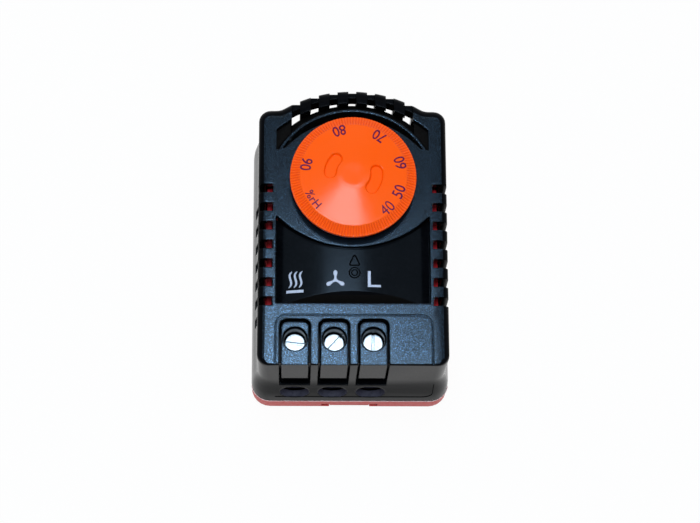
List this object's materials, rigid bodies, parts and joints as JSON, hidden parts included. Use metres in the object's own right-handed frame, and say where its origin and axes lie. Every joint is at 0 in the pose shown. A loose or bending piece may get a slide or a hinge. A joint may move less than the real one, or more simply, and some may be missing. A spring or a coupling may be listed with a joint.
{
  "type": "hygrostat",
  "caption": "Rail-mounted humidity controller: vented box housing with a turning setpoint dial, a crowned label panel and screw-clamp wire terminals.",
  "frame": {"origin": "under the middle of the outline, on the rear face that lies against the mounting rail", "axes": "+X to the device's right seen from the front, +Y up the device towards the arched vent, +Z out of the front along the dial's axis"},
  "size_m": [0.05, 0.073, 0.0444],
  "materials": {
    "black_plastic": "fine spark-eroded texture on the flat fields, gloss on edges and in the label recess",
    "red_plastic": "semi-gloss moulded red",
    "orange_plastic": "glossy moulded orange with a fine knurled bevel",
    "ivory_plastic": "natural acetal",
    "switch_plastic": "grey thermoset",
    "band_film": "translucent hygroscopic film",
    "brass": "bright stamped brass",
    "contact_copper": "copper alloy strip",
    "zinc_steel": "bright zinc plating",
    "spring_steel": "drawn spring wire"
  },
  "bodies": {
    "housing": {"front_cover": "black_plastic", "rear_base": "red_plastic", "latch_spring": "spring_steel", "spindle_bracket": "zinc_steel", "upper_bush": "brass", "lower_bush": "brass", "chassis_plate": "zinc_steel", "chassis_screws": "zinc_steel", "stop_pin": "zinc_steel", "setting_lever_pin": "zinc_steel", "sensor_lever_pin": "zinc_steel", "lever_clips": "zinc_steel", "humidity_band": "band_film", "fixed_band_clamp": "brass", "calibration_screw": "brass", "tension_spring": "spring_steel", "switch_body": "switch_plastic", "switch_cover": "switch_plastic", "switch_screws": "zinc_steel", "plunger_spring": "spring_steel", "contact_common": "contact_copper", "contact_fan": "contact_copper", "contact_heater": "contact_copper", "terminal_block": "black_plastic", "busbar_1": "brass", "busbar_2": "brass", "busbar_3": "brass"},
    "dial": {"setpoint_dial": "orange_plastic", "dial_spindle": "ivory_plastic", "setting_cam": "ivory_plastic", "cam_ring": "zinc_steel"},
    "setting_arm": {"setting_lever": "ivory_plastic"},
    "sensor_arm": {"sensor_lever": "ivory_plastic", "moving_band_clamp": "brass"},
    "plunger": {"switch_plunger": "red_plastic"},
    "blade": {"snap_blade": "contact_copper"},
    "latch": {"din_latch": "red_plastic"},
    "screw_1": {"terminal_screw_1": "zinc_steel"},
    "clamp_1": {"clamp_cage_1": "zinc_steel"},
    "screw_2": {"terminal_screw_2": "zinc_steel"},
    "clamp_2": {"clamp_cage_2": "zinc_steel"},
    "screw_3": {"terminal_screw_3": "zinc_steel"},
    "clamp_3": {"clamp_cage_3": "zinc_steel"}
  },
  "joints": [
    {"name": "dial_turn", "type": "hinge", "parent": "housing", "child": "dial", "pos_m": [0, 0.0118, 0.038], "axis": [0, 0, 1], "range_deg": [-260, 0]},
    {"name": "setting_lever_swing", "type": "hinge", "parent": "housing", "child": "setting_arm", "pos_m": [-0.011, 0.026, 0.0222], "axis": [0, 0, 1], "range_deg": [-5.2, 0.2], "deforming": ["tension_spring"]},
    {"name": "sensor_lever_swing", "type": "hinge", "parent": "housing", "child": "sensor_arm", "pos_m": [0.014, -0.0016, 0.0222], "axis": [0, 0, 1], "range_deg": [0, 2], "stiffness_Nm_per_rad": 0.05, "deforming": ["humidity_band"]},
    {"name": "plunger_slide", "type": "slide", "parent": "housing", "child": "plunger", "axis": [0, -1, 0], "range_m": [0, 0.00066], "deforming": ["plunger_spring"]},
    {"name": "blade_swing", "type": "hinge", "parent": "housing", "child": "blade", "pos_m": [0.0049, -0.0096, 0.0222], "axis": [0, 0, 1], "range_deg": [-0.1, 4.1]},
    {"name": "latch_slide", "type": "slide", "parent": "housing", "child": "latch", "axis": [0, -1, 0], "range_m": [0, 0.003], "stiffness_N_per_m": 800, "springref_m": -0.002, "deforming": ["latch_spring"]},
    {"name": "screw_turn_1", "type": "hinge", "parent": "housing", "child": "screw_1", "pos_m": [-0.0141, -0.0282, 0.0321], "axis": [0, 0, 1], "range_deg": [-3601, 1]},
    {"name": "clamp_lift_1", "type": "slide", "parent": "housing", "child": "clamp_1", "axis": [0, 0, 1], "range_m": [0, 0.005]},
    {"name": "screw_turn_2", "type": "hinge", "parent": "housing", "child": "screw_2", "pos_m": [-0.0046, -0.0282, 0.0321], "axis": [0, 0, 1], "range_deg": [-3601, 1]},
    {"name": "clamp_lift_2", "type": "slide", "parent": "housing", "child": "clamp_2", "axis": [0, 0, 1], "range_m": [0, 0.005]},
    {"name": "screw_turn_3", "type": "hinge", "parent": "housing", "child": "screw_3", "pos_m": [0.0049, -0.0282, 0.0321], "axis": [0, 0, 1], "range_deg": [-3601, 1]},
    {"name": "clamp_lift_3", "type": "slide", "parent": "housing", "child": "clamp_3", "axis": [0, 0, 1], "range_m": [0, 0.005]}
  ],
  "couplings": [
    {"joint": "setting_lever_swing", "follows": "dial_turn", "ratio": 0.019231},
    {"joint": "sensor_lever_swing", "follows": "plunger_slide", "rad_per_m": 52.632},
    {"joint": "blade_swing", "follows": "plunger_slide", "rad_per_m": 101.01},
    {"joint": "screw_turn_1", "follows": "clamp_lift_1", "rad_per_m": -12566},
    {"joint": "screw_turn_2", "follows": "clamp_lift_2", "rad_per_m": -12566},
    {"joint": "screw_turn_3", "follows": "clamp_lift_3", "rad_per_m": -12566}
  ]
}
